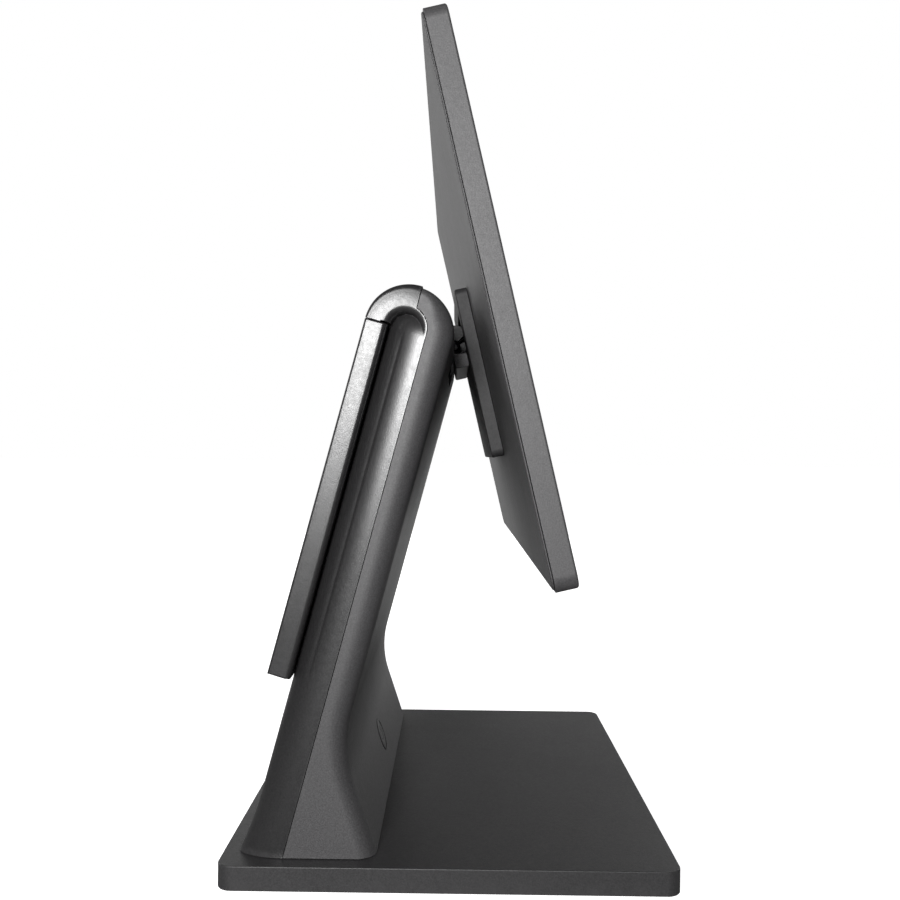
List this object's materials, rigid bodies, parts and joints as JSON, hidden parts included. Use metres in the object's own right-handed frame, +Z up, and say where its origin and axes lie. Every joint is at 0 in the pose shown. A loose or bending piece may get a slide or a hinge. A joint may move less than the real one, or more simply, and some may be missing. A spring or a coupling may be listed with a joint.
{
  "type": "pos touchscreen terminal",
  "caption": "Counter terminal with a thin tilting touch display on a leaning column, a rear customer display and a flat weighted base.",
  "frame": {"origin": "on the table, under the middle of the base's outline", "axes": "+Z up, -Y towards the operator, +Y towards the customer, X across the terminal"},
  "size_m": [0.384, 0.2134, 0.3832],
  "materials": {
    "shell": "fine matt texture, graphite",
    "shell_dark": "fine matt texture, darker graphite",
    "base_metal": "fine powder coat, graphite",
    "black_steel": "black oxide",
    "steel": "zinc plated",
    "rubber": "matt",
    "screen_glass": "black glass over a dark screen",
    "lcd": "satin",
    "circuit": "green solder mask",
    "aluminium": "satin",
    "port_plastic": "moulded black"
  },
  "bodies": {
    "stand": {"base_cover": "base_metal", "base_screw_1": "steel", "base_screw_2": "steel", "base_screw_3": "steel", "base_screw_4": "steel", "base_weight_plate": "steel", "column_frame": "steel", "column_front_shell": "shell", "column_rear_shell": "shell_dark", "cpu_heatsink": "aluminium", "customer_board": "circuit", "customer_glass": "screen_glass", "customer_housing": "shell_dark", "customer_lcd": "lcd", "dc_inlet": "port_plastic", "foot_front_left": "rubber", "foot_front_right": "rubber", "foot_rear_left": "rubber", "foot_rear_right": "rubber", "friction_washer_left": "black_steel", "friction_washer_right": "black_steel", "hinge_bracket": "black_steel", "hinge_nut_left": "black_steel", "hinge_nut_right": "black_steel", "hinge_shaft": "black_steel", "mainboard": "circuit", "port_drawer": "port_plastic", "port_lan": "steel", "port_panel": "black_steel", "port_serial": "port_plastic", "port_usb_1": "steel", "port_usb_2": "steel", "port_video": "steel", "power_board": "circuit", "power_switch": "port_plastic", "speaker": "port_plastic", "ssd_drive": "aluminium"},
    "display": {"display_back_cover": "shell", "display_board": "circuit", "display_frame": "shell", "hinge_neck_cover": "shell", "hinge_yoke": "black_steel", "lcd_panel": "lcd", "touch_glass": "screen_glass", "vesa_cover": "shell", "vesa_plate": "steel", "vesa_screw_1": "steel", "vesa_screw_2": "steel", "vesa_screw_3": "steel", "vesa_screw_4": "steel"},
    "power_button": {"power_button": "shell"}
  },
  "joints": [
    {"name": "display_tilt", "type": "hinge", "parent": "stand", "child": "display", "pos_m": [0, -0.0005, 0.269], "axis": [-1, 0, 0], "range_deg": [-13, 45]},
    {"name": "power_button_press", "type": "slide", "parent": "stand", "child": "power_button", "axis": [0, 0.9461, -0.3239], "range_m": [0, 0.0012], "stiffness_N_per_m": 800, "springref_m": -0.0006}
  ]
}
